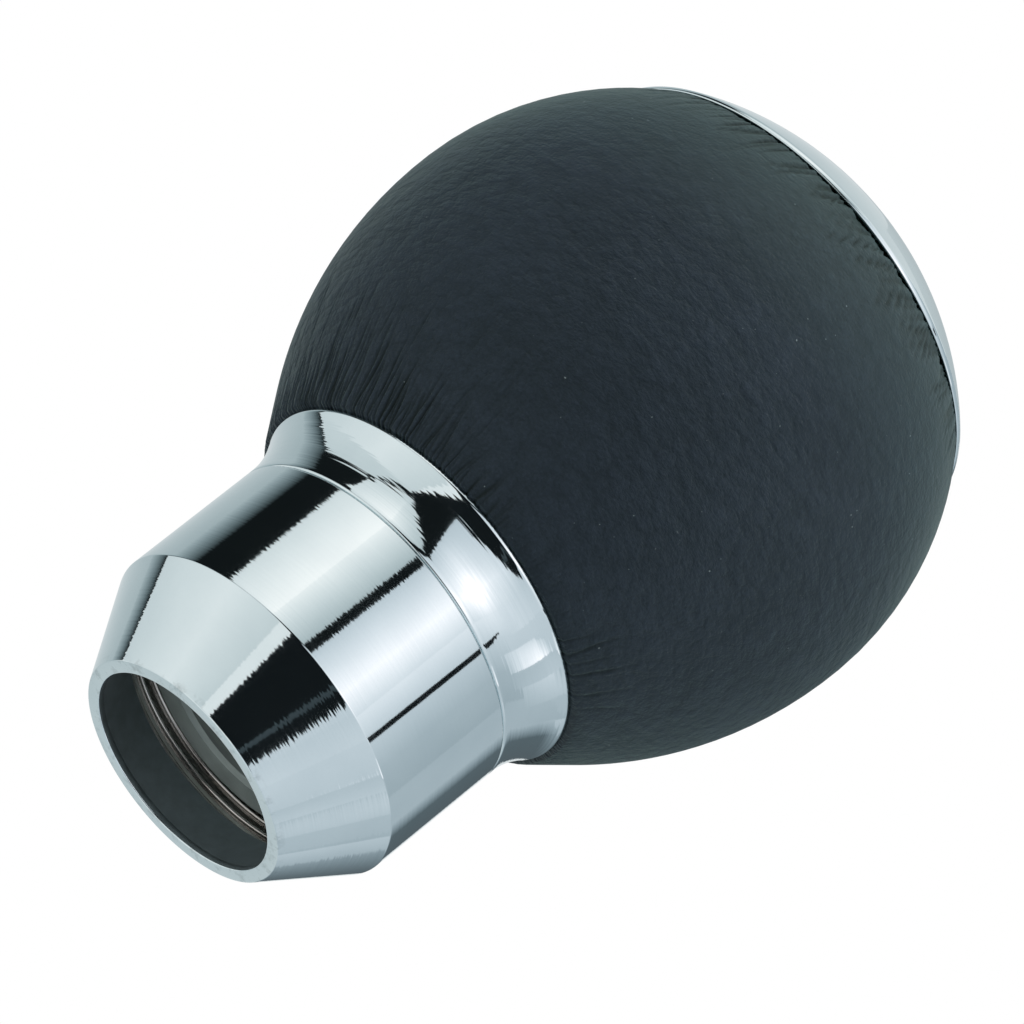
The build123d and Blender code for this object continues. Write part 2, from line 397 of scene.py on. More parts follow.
# %% Pale boards
pale_boards = [
    ("grey_left", [(78, -12), (144, -12), (144, 85), (40, 85)], [0.80, 0.55, 0.55, 0.92]),
    ("grey_under", [(40, -65), (135, -65), (135, -12), (40, -12)], [0.76, 0.70, 0.64, 0.72]),
    ("pale_low_left", [(145, -80), (197, -80), (197, -7), (146.5, -7)], [0.84, 1.04, 1.0, 0.82]),
    ("pale_low_fade", [(197, -80), (246, -80), (228, -7), (197, -7)], [1.04, 0.78, 0.82, 1.0]),
    ("pale_between", [(146.5, -7), (228, -7), (206, 9), (167, 11)], [0.84, 0.80, 0.78, 0.76]),
    ("grey_left_top", [(144, 40), (184, 40), (180, 85), (144, 85)], [0.50, 0.56, 0.70, 0.60]),
    ("white_left", [(203, 9), (230, -2), (230, 27), (184, 27)], [0.88, 0.82, 1.26, 0.84]),
    ("white_left_top", [(184, 27), (230, 27), (230, 75), (180, 75)], [0.84, 1.26, 1.20, 0.90]),
    ("white_fade", [(230, -2), (252, -2), (259, 27), (230, 27)], [0.80, 0.62, 0.56, 1.16]),
    ("white_fade_top", [(230, 27), (259, 27), (262, 75), (230, 75)], [1.16, 0.56, 0.60, 1.14]),
    ("white_right", [(256, 8), (278, 8), (278, 27), (261, 27)], [0.70, 1.18, 1.02, 0.72]),
    ("white_right_top", [(261, 27), (278, 27), (278, 75), (266, 75)], [0.72, 1.02, 1.0, 0.70]),
    ("white_right_mid", [(254, -8), (278, -8), (278, 8), (256, 8)], [0.70, 0.98, 1.18, 0.70]),
    ("white_right_low", [(252, -40), (278, -40), (278, -8), (254, -8)], [0.66, 0.78, 0.98, 0.70]),
    ("white_hot", [(278, 8), (293, 8), (293, 27), (278, 27)], [1.18, 1.80, 1.30, 1.02]),
    ("white_hot_top", [(278, 27), (293, 27), (293, 75), (278, 75)], [1.02, 1.30, 1.16, 1.0]),
    ("white_hot_mid", [(278, -8), (293, -8), (293, 8), (278, 8)], [0.98, 1.18, 1.80, 1.18]),
    ("white_hot_low", [(278, -40), (293, -40), (293, -8), (278, -8)], [0.78, 0.80, 1.18, 0.98]),
    ("white_cool", [(293, 8), (309, 8), (309, 27), (293, 27)], [1.80, 1.10, 0.94, 1.30]),
    ("white_cool_top", [(293, 27), (309, 27), (309, 75), (293, 75)], [1.30, 0.96, 0.90, 1.16]),
    ("white_cool_mid", [(293, -8), (309, -8), (309, 8), (293, 8)], [1.18, 0.92, 1.10, 1.80]),
    ("white_cool_low", [(293, -40), (309, -40), (309, -8), (293, -8)], [0.80, 0.72, 0.96, 1.18]),
    ("white_end", [(309, 8), (326, 8), (332, 75), (309, 75)], [1.10, 0.80, 0.60, 0.88]),
    ("white_end_mid", [(309, -8), (326, -8), (326, 8), (309, 8)], [0.92, 0.86, 0.80, 1.10]),
    ("white_end_low", [(309, -40), (326, -40), (326, -8), (309, -8)], [0.72, 0.78, 0.90, 0.96]),
    ("pale_right_low", [(290, -85), (350, -85), (350, -40), (290, -40)], [0.74, 0.74, 0.76, 0.74]),
    ("pale_right_mid", [(326, -40), (350, -40), (350, 8), (326, 8)], [0.78, 0.76, 0.66, 0.82]),
    ("grey_right", [(326, 8), (346, 8), (350, 75), (332, 75)], [0.80, 0.60, 0.52, 0.66]),
    ("grey_right_top", [(346, 8), (369, 8), (369, 75), (350, 75)], [0.60, 0.54, 0.46, 0.54]),
    ("grey_right_back", [(369, -8), (394, -8), (394, 75), (369, 75)], [0.64, 0.56, 0.58, 0.48]),
    ("grey_right_low", [(350, -85), (424, -85), (394, -8), (350, 8)], [0.74, 0.70, 0.60, 0.66]),
    ("low_to_dark", [(394, -40), (436, -40), (436, 8), (394, -2)], [0.70, 0.36, 0.24, 0.70]),
]
for name, corners, shades in pale_boards:
    board(name, corners, shades, layer=0)
print("pale boards", len(pale_boards))

# %% [markdown]
# The black flags stand in front of them, with smaller grey and white boards for the flare and the cap. The
# slanted edges matter: the turning rings of the sleeve nod the mirror up and down, and a slanted edge
# then breaks into the fine teeth that plated metal shows.

# %% Black flags
BLACK = 0.010

black = [BLACK] * 4
glint = [0.10, 0.08, 0.04, 0.06]
flags = [
    ("grey_to_dark", [(393, -2), (406, 0.5), (406, 8), (393, 8)], [0.62, 0.44, 0.18, 0.58]),
    ("grey_to_dark_top", [(393, 8), (406, 8), (406, 60), (393, 60)], [0.58, 0.18, 0.16, 0.56]),
    ("dark_right", [(406, 0.5), (442, 9), (440, 20), (406, 8)], [0.42, 0.20, 0.12, 0.16]),
    ("dark_right_top", [(406, 8), (440, 20), (428, 36), (406, 36)], [0.16, 0.12, 0.12, 0.15]),
    ("grey_far_right", [(52, 41), (90, 41), (88, 56), (52, 56)], [0.52, 0.56, 0.68, 0.64]),
    ("grey_far_right_low", [(91, 28), (96, 28), (90, 41), (78, 41)], [0.52, 0.60, 0.56, 0.54]),
    ("left_fade_low", [(127, -9), (145, -7.5), (168, 12), (144, 12)], [0.54, BLACK, BLACK, 0.54]),
    ("left_fade", [(144, 12), (166, 12), (164, 44), (144, 44)], [0.54, BLACK, BLACK, 0.54]),
    ("flag_left_low", [(164, 11), (203.5, 9.5), (197.5, 23), (163, 23)], black),
    ("flag_left", [(163, 23), (197.5, 23), (186, 30), (163, 30)], black),
    ("flag_left_top", [(163, 30), (186, 30), (184, 44), (163, 44)], black),
    ("flag_left_tail", [(143.5, -8.5), (146.5, -7), (169, 12), (161, 12)], black),
    ("flag_right_tail", [(199, 10), (209, 2), (212, 3), (205, 10)], black),
    ("flag_right_tail_end", [(209, 2), (230, -7), (234, -3), (212, 3)], black),
    ("flag_middle_top", [(254, 22), (261, 22), (268, 36), (262, 36)], black),
    ("flag_middle", [(227, -7), (256.5, -7), (261, 22), (254, 22)], black),
    ("flag_middle_low", [(237, -23), (254.5, -23), (256.5, -7), (227, -7)], black),
    ("flag_under", [(246, -37), (308, -37), (268, -23), (237, -23)], black),
    ("flag_under_low", [(258, -60), (316, -48), (308, -37), (246, -37)], black),
    ("flag_thin_low", [(320.5, 11), (321.5, 11), (327, 24), (323.5, 24)], black),
    ("flag_thin", [(323.5, 24), (327, 24), (333, 45), (329, 45)], black),
    ("hot_right_top", [(335, 1), (349, 1), (349, 16), (335, 16)], [0.96, 1.16, 0.70, 0.80]),
    ("hot_right", [(335, -14), (349, -14), (349, 1), (335, 1)], [0.92, 1.42, 1.16, 0.96]),
    ("hot_right_low", [(341, -24), (349, -24), (349, -14), (335, -14)], [0.78, 0.80, 1.42, 0.92]),
    ("slit_right", [(349, -17), (361, -17), (361, 16), (349, 16)], [0.70, 0.76, 0.60, 0.60]),
    ("slit_right_low", [(352, -46), (361, -46), (361, -17), (349, -17)], [0.60, 0.66, 0.76, 0.70]),
    ("glow_right", [(361, -14), (377, -14), (377, 12), (361, 12)], [0.88, 0.70, 0.60, 0.68]),
    ("glow_right_low", [(361, -20), (377, -20), (377, -14), (361, -14)], [0.72, 0.68, 0.70, 0.88]),
]
for name, corners, shades in flags:
    board(name, corners, shades, layer=1)
board("glint_under", [(282, -41), (286, -41), (295, -31), (291, -31)], glint, layer=2)
print("boards in front", len(flags) + 1)

# %% [markdown]
# ## Chrome
# Bright chrome over turned metal mirrors the boards, but the tool has left fine rings under the plating.
# They nod the mirror up and down, which combs the edges of the black bands. Noise that is stretched round
# the axis and very fine along it makes those rings. The ring that the knob stands on is scuffed in places.

# %% Chrome
CHROME_PALE = (0.680, 0.768, 0.785)
CHROME_DEEP = (0.645, 0.735, 0.755)
CHROME_WORN = (0.440, 0.500, 0.510)
CHROME_ROUGH = (0.03, 0.075)
CLOUDS, WAVES, SCUFFS = (260, 260, 260), (420, 420, 420), (620, 620, 620)
TURNING_RINGS = (110, 110, 4000)
WEAR_FOOT, WEAR_HEAD = 0.0001, 0.0006
SCUFF_FROM, SCUFF_FULL = 0.52, 0.72


def worn_foot(nodes, links, tone):
    """Scuff the plating in patches near the ring that the knob stands on."""
    near = ranged(nodes, links, object_height(nodes, links), WEAR_HEAD, WEAR_FOOT)
    patches = noise_at(nodes, links, SCUFFS, 4, 0.65)
    scuffed = ranged(nodes, links, patches, SCUFF_FROM, SCUFF_FULL)
    return blend_in(nodes, links, tone, CHROME_WORN, combined(nodes, links, "MULTIPLY", near, scuffed))


def chrome_finish(name, ring_height, wave_height, worn):
    """Plated metal with rings and waves of given heights in metres, worn at the nose ring or not."""
    material, nodes, links, shader = start_finish(name)
    shader.inputs["Metallic"].default_value = 1
    cloud = noise_at(nodes, links, CLOUDS, 3)
    tone = ramp_between(nodes, links, cloud, 0.3, CHROME_DEEP, 0.7, CHROME_PALE)
    if worn:
        tone = worn_foot(nodes, links, tone)
    links.new(tone, shader.inputs["Base Color"])
    links.new(spread(nodes, links, cloud, *CHROME_ROUGH), shader.inputs["Roughness"])
    relief = bump_from(nodes, links, noise_at(nodes, links, TURNING_RINGS, 1, 0.6), 1.0, ring_height)
    relief = bump_from(nodes, links, noise_at(nodes, links, WAVES, 2), 1.0, wave_height, relief)
    links.new(relief, shader.inputs["Normal"])
    return material


turned_chrome = chrome_finish("turned_chrome", ring_height=5.5e-6, wave_height=3e-6, worn=True)
polished_chrome = chrome_finish("polished_chrome", ring_height=11e-6, wave_height=3e-6, worn=False)
cap_polish = chrome_finish("cap_polish", ring_height=2e-6, wave_height=2e-6, worn=False)
print("chrome", turned_chrome.name, polished_chrome.name, cap_polish.name)

# %% [markdown]
# ## Leather finish
# The hide is nearly black with a blue cast, and where it is seen at a slant it turns a soft grey-green.
# Under the cap it is painted paler and greener, a painted sheen in the colour. Slow noise mottles it, and
# the depth of the folds, which the mesh carries, paints shade into their valleys.

# %% Leather finish
HIDE_DARK = (0.0125, 0.0178, 0.0285)
HIDE_PALE = (0.0178, 0.0248, 0.0385)
VALLEY_PAINTED_SHADE = (0.0040, 0.0052, 0.0058)
CROWN_PAINTED_SHEEN = (0.0215, 0.0345, 0.0405)
HIDE_CLOUDS = (70, 70, 70)
CROWN_FOOT, CROWN_HEAD = 0.050, 0.065
LEATHER_GLOSS = {"Specular IOR Level": 0.17, "Specular Tint": (0.72, 1.0, 0.86, 1), "Sheen Weight": 0.09,
                 "Sheen Roughness": 0.45, "Sheen Tint": (0.56, 1.0, 0.84, 1)}

leather, nodes, links, shader = start_finish("black_leather")
for socket, value in LEATHER_GLOSS.items():
    shader.inputs[socket].default_value = value
cloud = noise_at(nodes, links, HIDE_CLOUDS, 5, 0.6)
hide = ramp_between(nodes, links, cloud, 0.32, HIDE_DARK, 0.68, HIDE_PALE)
metres_up = object_height(nodes, links)
# painted sheen: the hide is painted paler and greener towards the cap
hide = blend_in(nodes, links, hide, CROWN_PAINTED_SHEEN, ranged(nodes, links, metres_up, CROWN_FOOT, CROWN_HEAD))
# painted shade: the valleys of the folds are darkened in the colour
fold_shade = nodes.new("ShaderNodeAttribute")
fold_shade.attribute_name = "painted_valley_shade"
hide = blend_in(nodes, links, hide, VALLEY_PAINTED_SHADE, fold_shade.outputs["Fac"])
print("hide colour, nodes", len(nodes))

# %% [markdown]
# The grain is made of flat pebbles about a millimetre across, with finer pores between them and soft
# creases over both. Cells give the pebbles, which are wider round the ball than along it, because the hide
# is stretched that way. What lies low is darker, because less light gets in.

# %% Leather grain
PEBBLES = (800, 800, 1150)
PEBBLE_SWIRL = 0.8
PEBBLE_HEART, PEBBLE_EDGE = 0.25, 0.85
PORES, CREASES = (3600, 3600, 3600), (330, 330, 760)
PEBBLE_TONE, PORE_TONE, CREASE_TONE = (0.90, 1.04), (0.50, 1.50), (0.74, 1.26)

pebble_place = place_pattern(nodes, links, PEBBLES)
swirl = nodes.new("ShaderNodeTexNoise")
swirl.inputs["Scale"].default_value = PEBBLE_SWIRL
swirl.inputs["Detail"].default_value = 2
links.new(pebble_place, swirl.inputs["Vector"])
swirled = nodes.new("ShaderNodeVectorMath")
swirled.operation = "ADD"
links.new(pebble_place, swirled.inputs[0])
links.new(swirl.outputs["Color"], swirled.inputs[1])
cells = nodes.new("ShaderNodeTexVoronoi")
cells.feature = "F1"
cells.inputs["Scale"].default_value = 1
links.new(swirled.outputs[0], cells.inputs["Vector"])
pebbles = ranged(nodes, links, cells.outputs["Distance"], PEBBLE_HEART, PEBBLE_EDGE, 1, 0, smooth=True)
pores = noise_at(nodes, links, PORES, 2, 0.65)
creases = noise_at(nodes, links, CREASES, 5, 0.66)
for pattern, tones in ((pebbles, PEBBLE_TONE), (pores, PORE_TONE), (creases, CREASE_TONE)):
    hide = times_tone(nodes, links, hide, spread(nodes, links, pattern, *tones))
print("hide grain, nodes", len(nodes))

# %% [markdown]
# The relief is laid in three bumps, and the pebbles and creases among them flatten out towards the cap. A
# few bright specks are pale dust in the pores: a fine noise picks out its rare peaks, and only there the
# colour rises.

# %% Leather relief
SPECK = (0.16, 0.20, 0.21)
DUST, DUST_FROM, DUST_FULL = (3000, 3000, 3000), 0.872, 0.91
SMOOTH_ABOVE, ROUGH_BELOW, SMOOTH_SHARE = 0.060, 0.042, 0.35
PEBBLE_HEIGHT, PORE_HEIGHT, CREASE_HEIGHT = 60e-6, 60e-6, 320e-6
HIDE_ROUGH = (0.44, 0.62)

dust = ranged(nodes, links, noise_at(nodes, links, DUST, 0), DUST_FROM, DUST_FULL)
links.new(blend_in(nodes, links, hide, SPECK, dust), shader.inputs["Base Color"])
share = ranged(nodes, links, metres_up, SMOOTH_ABOVE, ROUGH_BELOW, SMOOTH_SHARE, 1, smooth=True)
relief = bump_from(nodes, links, combined(nodes, links, "MULTIPLY", pebbles, share), 1.0, PEBBLE_HEIGHT)
relief = bump_from(nodes, links, pores, 1.0, PORE_HEIGHT, relief)
low_creases = combined(nodes, links, "MULTIPLY", creases, share)
links.new(bump_from(nodes, links, low_creases, 1.0, CREASE_HEIGHT, relief), shader.inputs["Normal"])
links.new(spread(nodes, links, pores, *HIDE_ROUGH), shader.inputs["Roughness"])
print("leather", leather.name, "nodes", len(nodes))

# %% [markdown]
# ## Plastic and steel finishes
# The ring in the mouth is matt black plastic, the ball's core is a coarser moulding, the stem is dark
# turned steel, the bore of the sleeve is oily brown, and the clamping screws are blackened. All of them
# are hidden or in shade, but each still has its own grain and wear.

# %% Plastic and steel finishes
SOCKET_EDGE, SOCKET_BLUR, SOCKET_PAINTED_SHADE = 0.0083, 0.0002, 0.7


def plain_finish(name, dark, pale, scale, rough, grain_height, metal):
    """A finish with mottled colour, uneven gloss and a fine grain."""
    material, nodes, links, shader = start_finish(name)
    shader.inputs["Metallic"].default_value = metal
    pattern = noise_at(nodes, links, scale, 4, 0.6)
    links.new(ramp_between(nodes, links, pattern, 0.3, dark, 0.7, pale), shader.inputs["Base Color"])
    links.new(spread(nodes, links, pattern, *rough), shader.inputs["Roughness"])
    links.new(bump_from(nodes, links, pattern, 0.6, grain_height), shader.inputs["Normal"])
    return material


def paint_bore_shade(material, radius):
    """Paint shade into a finish inside a radius in metres, down the bore of the stem."""
    nodes = material.node_tree.nodes
    links = material.node_tree.links
    base = nodes["Principled BSDF"].inputs["Base Color"]
    flat = nodes.new("ShaderNodeVectorMath")
    flat.operation = "MULTIPLY"
    flat.inputs[1].default_value = (1, 1, 0)
    links.new(object_coords(nodes), flat.inputs[0])
    reach = length_of(nodes, links, flat.outputs[0])
    # painted shade, full inside the radius and fading out over the blur
    painted_shade = ranged(nodes, links, reach, radius, radius + SOCKET_BLUR, SOCKET_PAINTED_SHADE, 1)
    links.new(times_tone(nodes, links, base.links[0].from_socket, painted_shade), base)


liner_plastic = plain_finish("liner_plastic", (0.092, 0.124, 0.132), (0.124, 0.164, 0.175),
                             (900, 900, 900), (0.5, 0.7), 20e-6, 0)
core_plastic = plain_finish("core_plastic", (0.02, 0.02, 0.02), (0.032, 0.032, 0.032),
                            (700, 700, 700), (0.5, 0.75), 30e-6, 0)
turned_steel = plain_finish("turned_steel", (0.30, 0.36, 0.345), (0.44, 0.52, 0.50),
                            (300, 300, 1500), (0.45, 0.62), 8e-6, 0.4)
# painted shade: the stem is darkened in its colour inside its bore
paint_bore_shade(turned_steel, SOCKET_EDGE)
bore_steel = plain_finish("bore_steel", (0.37, 0.355, 0.33), (0.60, 0.585, 0.555),
                          (260, 260, 1800), (0.18, 0.30), 8e-6, 1)
black_steel = plain_finish("black_steel", (0.03, 0.03, 0.032), (0.06, 0.06, 0.062),
                           (800, 800, 800), (0.35, 0.55), 10e-6, 1)
for node, finish in (("mouth_liner", liner_plastic), ("core", core_plastic), ("stem", turned_steel),
                     ("grub_screws", black_steel)):
    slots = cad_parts[node].material_slots
    for slot in slots:
        slot.material = finish
    print(node, "slots", len(slots))

# %% [markdown]
# ## Lathe work
# Everything here is turned, so each piece starts as a half section: a chain of points of radius and
# height. One spin could carry it all the way round, but every step of a spin has to walk through the
# whole mesh so far, which is slow with a thousand steps. So the section is spun through one slice, and a
# second spin copies the slice round the axis. Merging the doubles then closes the seams.

# %% Lathe helper
TURN_SLICES, TURN_STEPS = 24, 288
RING_TOLERANCE = 0.01


def half_section(bm, points, closed):
    """Vertices and edges of a half section, from points of (radius, height) in mm."""
    verts = [bm.verts.new((radius * MM, 0, height * MM)) for radius, height in points]
    edges = [bm.edges.new(pair) for pair in zip(verts, verts[1:])]
    if closed:
        edges.append(bm.edges.new((verts[-1], verts[0])))
    return verts + edges


def turn_round(bm, section, steps, slices=TURN_SLICES):
    """Spin a half section through one slice, then copy the slice round the axis."""
    slice_angle = math.tau / slices
    older = set(bm.verts[:]) | set(bm.edges[:]) | set(bm.faces[:])
    older -= set(section)
    bmesh.ops.spin(bm, geom=section, cent=(0, 0, 0), axis=(0, 0, 1), angle=slice_angle,
                   steps=steps // slices)
    everything = bm.verts[:] + bm.edges[:] + bm.faces[:]
    one_slice = [part for part in everything if part not in older]
    bmesh.ops.spin(bm, geom=one_slice, cent=(0, 0, 0), axis=(0, 0, 1), angle=math.tau - slice_angle,
                   steps=slices - 1, use_duplicate=True)
    bmesh.ops.remove_doubles(bm, verts=bm.verts, dist=MERGE)


def rings_at(bm, radius, height):
    """The edges of the ring at one radius and height, in mm."""
    found = []
    for edge in bm.edges:
        on_ring = [abs(vert.co.z / MM - height) + abs(vert.co.xy.length / MM - radius) < RING_TOLERANCE
                   for vert in edge.verts]
        if all(on_ring):
            found.append(edge)
    return found


def round_ring(bm, radius, height, size, segments=3):
    """Round the edge of one ring."""
    bmesh.ops.bevel(bm, geom=rings_at(bm, radius, height), offset=size * MM, segments=segments,
                    profile=0.5, affect="EDGES", material=-1)


def arc_points(centre, radius, start, end, count):
    """Points of (radius, height) along an arc, angles in degrees."""
    angles = [math.radians(start + (end - start) * i / count) for i in range(count + 1)]
    return [(centre[0] + radius * math.cos(a), centre[1] + radius * math.sin(a)) for a in angles]


def crisp(piece):
    """Let wide faces keep their own normal, so that rounded edges stay narrow."""
    weighted = piece.modifiers.new("weighted_normals", "WEIGHTED_NORMAL")
    weighted.mode = "FACE_AREA"
    weighted.weight = 100


print("lathe ready, steps", TURN_STEPS, "slices", TURN_SLICES)

# %% [markdown]
# ## Lock sleeve
# The sleeve has a conical nose with a flat ring, a straight cylinder, a seat for the black liner and a
# bore with a fine thread. The body is one lathe piece with its rings rounded. The thread could be cut
# with a boolean, but one ridge wound up the bore by a rising spin is lighter and stays clean.

# %% Lock sleeve
MOUTH_R, NOSE_R, SLEEVE_R, BORE_R = 9.2, 10.35, 15.0, 11.7
LIP_TOP, LINER_TOP, SHOULDER_TOP, SLEEVE_TOP = 0.6, 4.7, 7.7, 20.1
LINER_SEAT_R = 10.0
MOUTH_ROUND, NOSE_ROUND, SHOULDER_ROUND, SPLIT_ROUND = 0.12, 0.10, 0.07, 0.22
BORE_MARGIN, LIP_MARGIN, LIP_FOOT_ROUND = 0.05, 0.02, 0.15
BORE_SLOT, LIP_SLOT = 1, 2

bm = bmesh.new()
section = half_section(bm, [(MOUTH_R, 0), (NOSE_R, 0), (SLEEVE_R, SHOULDER_TOP), (SLEEVE_R, SLEEVE_TOP),
                            (BORE_R, SLEEVE_TOP), (BORE_R, LINER_TOP), (LINER_SEAT_R, LIP_TOP),
                            (MOUTH_R, LIP_TOP)], True)
turn_round(bm, section, TURN_STEPS)
round_ring(bm, MOUTH_R, 0, MOUTH_ROUND)
round_ring(bm, NOSE_R, 0, NOSE_ROUND)
round_ring(bm, SLEEVE_R, SHOULDER_TOP, SHOULDER_ROUND)
round_ring(bm, SLEEVE_R, SLEEVE_TOP, SPLIT_ROUND, segments=5)
for face in bm.faces:
    middle = face.calc_center_median()
    if middle.xy.length < (BORE_R + BORE_MARGIN) * MM and middle.z > LINER_TOP * MM:
        face.material_index = BORE_SLOT
    elif middle.xy.length < (MOUTH_R + LIP_MARGIN) * MM and middle.z > LIP_FOOT_ROUND * MM:
        face.material_index = LIP_SLOT
sleeve = add_piece(bm, "sleeve_chrome", turned_chrome)
sleeve.data.materials.append(bore_steel)
sleeve.data.materials.append(liner_plastic)
crisp(sleeve)
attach(sleeve, "sleeve")
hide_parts("lock_sleeve")

# %% [markdown]
# The ridge of the thread is one small section, sunk a little into the bore. It is spun seven times round
# while it rises.

# %% Thread in the bore
THREAD_PITCH, THREAD_CREST_R = 1.0, 11.35
THREAD_START, THREAD_TURNS, THREAD_STEPS = 4.5, 7, 144
RIDGE_SINK, RIDGE_TOP, CREST_FOOT, CREST_TOP = 0.1, 0.8, 0.28, 0.52

bm = bmesh.new()
ridge = [(BORE_R + RIDGE_SINK, 0.0), (BORE_R + RIDGE_SINK, RIDGE_TOP), (THREAD_CREST_R, CREST_TOP),
         (THREAD_CREST_R, CREST_FOOT)]
section = half_section(bm, [(radius, THREAD_START + height) for radius, height in ridge], True)
first_face = bm.faces.new([part for part in section if isinstance(part, bmesh.types.BMVert)])
bmesh.ops.spin(bm, geom=[first_face, *section], cent=(0, 0, 0), axis=(0, 0, 1),
               dvec=(0, 0, THREAD_PITCH * MM / THREAD_STEPS), angle=math.tau * THREAD_TURNS,
               steps=THREAD_STEPS * THREAD_TURNS)
thread = add_piece(bm, "sleeve_thread", bore_steel)
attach(thread, "sleeve")
print("thread from", THREAD_START, "to", THREAD_START + THREAD_PITCH * THREAD_TURNS)

# %% [markdown]
# ## Flared collar
# Above the split line a short land runs into a hollow flare with a thin lip. Its half section is mostly
# one arc. The two rounded edges at the split leave a fine groove that catches a bright and a dark line.

# %% Flared collar
COLLAR_BORE_R, LAND_TOP, LIP_R, LIP_FOOT, COLLAR_TOP = 11.28, 20.6, 16.55, 25.5, 25.8
FLARE_STEPS, LAND_ROUND, LIP_ROUND = 24, 0.24, 0.06

flare_run = LIP_R - SLEEVE_R
flare_climb = LIP_FOOT - LAND_TOP
flare_radius = (flare_run**2 + flare_climb**2) / (2 * flare_run)
flare_sweep = math.degrees(math.asin(flare_climb / flare_radius))
flare = arc_points((SLEEVE_R + flare_radius, LAND_TOP), flare_radius, 180, 180 - flare_sweep, FLARE_STEPS)

bm = bmesh.new()
section = half_section(bm, [(SLEEVE_R, SLEEVE_TOP), *flare, (LIP_R, COLLAR_TOP),
                            (COLLAR_BORE_R, COLLAR_TOP), (COLLAR_BORE_R, SLEEVE_TOP)], True)
turn_round(bm, section, TURN_STEPS)
round_ring(bm, SLEEVE_R, SLEEVE_TOP, LAND_ROUND, segments=4)
round_ring(bm, LIP_R, LIP_FOOT, LIP_ROUND)
round_ring(bm, LIP_R, COLLAR_TOP, LIP_ROUND)
collar = add_piece(bm, "collar_chrome", polished_chrome)
crisp(collar)
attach(collar, "collar")
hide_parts("flare_collar")

# %% [markdown]
# ## Top cap
# The cap is a chrome dome with a short upright rim, and it carries on the round of the ball. Spinning the
# half section closes it at the pole and across its hidden foot.

# %% Top cap
CAP_R, CAP_SEAT, CAP_RIM, CAP_RISE = 20.8, 65.8, 0.4, 9.2
DOME_STEPS, CAP_FOOT_ROUND, CAP_RIM_ROUND = 36, 0.16, 0.18

rim_top = CAP_SEAT + CAP_RIM
dome_radius = (CAP_R**2 + CAP_RISE**2) / (2 * CAP_RISE)
dome_middle = rim_top + CAP_RISE - dome_radius
rim_angle = math.degrees(math.acos(CAP_R / dome_radius))
dome = arc_points((0, dome_middle), dome_radius, rim_angle, 90, DOME_STEPS)

bm = bmesh.new()
turn_round(bm, half_section(bm, [(0, CAP_SEAT), (CAP_R, CAP_SEAT), *dome], False), TURN_STEPS)
round_ring(bm, CAP_R, CAP_SEAT, CAP_FOOT_ROUND, segments=4)
round_ring(bm, CAP_R, rim_top, CAP_RIM_ROUND, segments=4)
cap = add_piece(bm, "cap_chrome", cap_polish)
crisp(cap)
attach(cap, "knob")
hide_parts("top_cap")

# %% [markdown]
# ## Leather cover
# One skin of leather is drawn over the ball and gathered in above the collar, so fine folds run up from
# the neck and fade, and shorter puckers run down from the cap. The outline is a straight flank, a wide
# belly arc and the round of the ball. Its rows lie closest where the folds are.

# %% Leather outline
BALL_R, EQUATOR, NECK_R, FLANK, CROWN = 26.2, 49.8, 17.1, 5.0, 16.0
HEM_GAP, SKIN = 0.04, 1.1
FLANK_ROWS, BELLY_ROWS, CROWN_ROWS = 9, 18, 14
BELLY_CROWD, CROWN_CROWD = 1.4, 1.6
FOOT_CLEAR, HEAD_CLEAR = 0.4, 0.2
FOOT_TURN = [(-1.5, 0), (-0.5, 0), (-0.16, 0.02), (-0.02, 0.09), (0.08, 0.22)]
HEAD_TURN = [(0.08, -0.11), (0.02, -0.04), (-0.09, -0.01), (-0.4, 0), (-1.3, 0)]

belly_climb = EQUATOR - COLLAR_TOP
flank_run = BALL_R - NECK_R
flank_rise = (FLANK + belly_climb) / 2 - flank_run**2 / (2 * (FLANK + belly_climb))
lean = math.atan2(flank_run, flank_rise)
belly_radius = (belly_climb * math.sin(lean) - flank_run * math.cos(lean)) / (1 - math.cos(lean))


def ball_points(inset, rows):
    """The ball's outline as points of (radius, height), inset square to the surface."""
    normal = Vector((math.cos(lean), -math.sin(lean)))
    along = Vector((math.sin(lean), math.cos(lean)))
    foot = Vector((NECK_R, COLLAR_TOP)) - normal * inset
    flank_rows, belly_rows, crown_rows = rows
    line = [tuple(foot + along * FLANK * i / flank_rows) for i in range(flank_rows)]
    belly_angles = [lean * ((i / belly_rows)**BELLY_CROWD - 1) for i in range(belly_rows)]
    crown_angle = math.asin(CROWN / (BALL_R - inset))
    crown_angles = [crown_angle * (1 - (1 - i / crown_rows)**CROWN_CROWD) for i in range(crown_rows + 1)]
    belly_centre = BALL_R - belly_radius
    belly_r = belly_radius - inset
    crown_r = BALL_R - inset
    belly = [(belly_centre + belly_r * math.cos(a), EQUATOR + belly_r * math.sin(a)) for a in belly_angles]
    crown = [(crown_r * math.cos(a), EQUATOR + crown_r * math.sin(a)) for a in crown_angles]
    return line + belly + crown


hem_foot = COLLAR_TOP + HEM_GAP
hem_head = CAP_SEAT - HEM_GAP
outline = [point for point in ball_points(0, (FLANK_ROWS, BELLY_ROWS, CROWN_ROWS))
           if hem_foot + FOOT_CLEAR < point[1] < hem_head - HEAD_CLEAR]
foot_r = NECK_R + (hem_foot - COLLAR_TOP) * math.tan(lean)
head_r = math.sqrt(BALL_R**2 - (hem_head - EQUATOR)**2)
foot_turn = [(foot_r + out, hem_foot + up) for out, up in FOOT_TURN]
head_turn = [(head_r + out, hem_head + up) for out, up in HEAD_TURN]
outline = foot_turn + outline + head_turn
print("leather outline rows", len(outline), "lean", round(math.degrees(lean), 2))

# %% [markdown]
# Each fold is one narrow furrow with its own place, length, depth and slant, drawn from a seeded list. The
# cover is drawn tightest on one side, where the folds are long and close, and there are a few strong short
# creases beside it. Noise could make all of them at once, but it gives no folds that start at the hem.

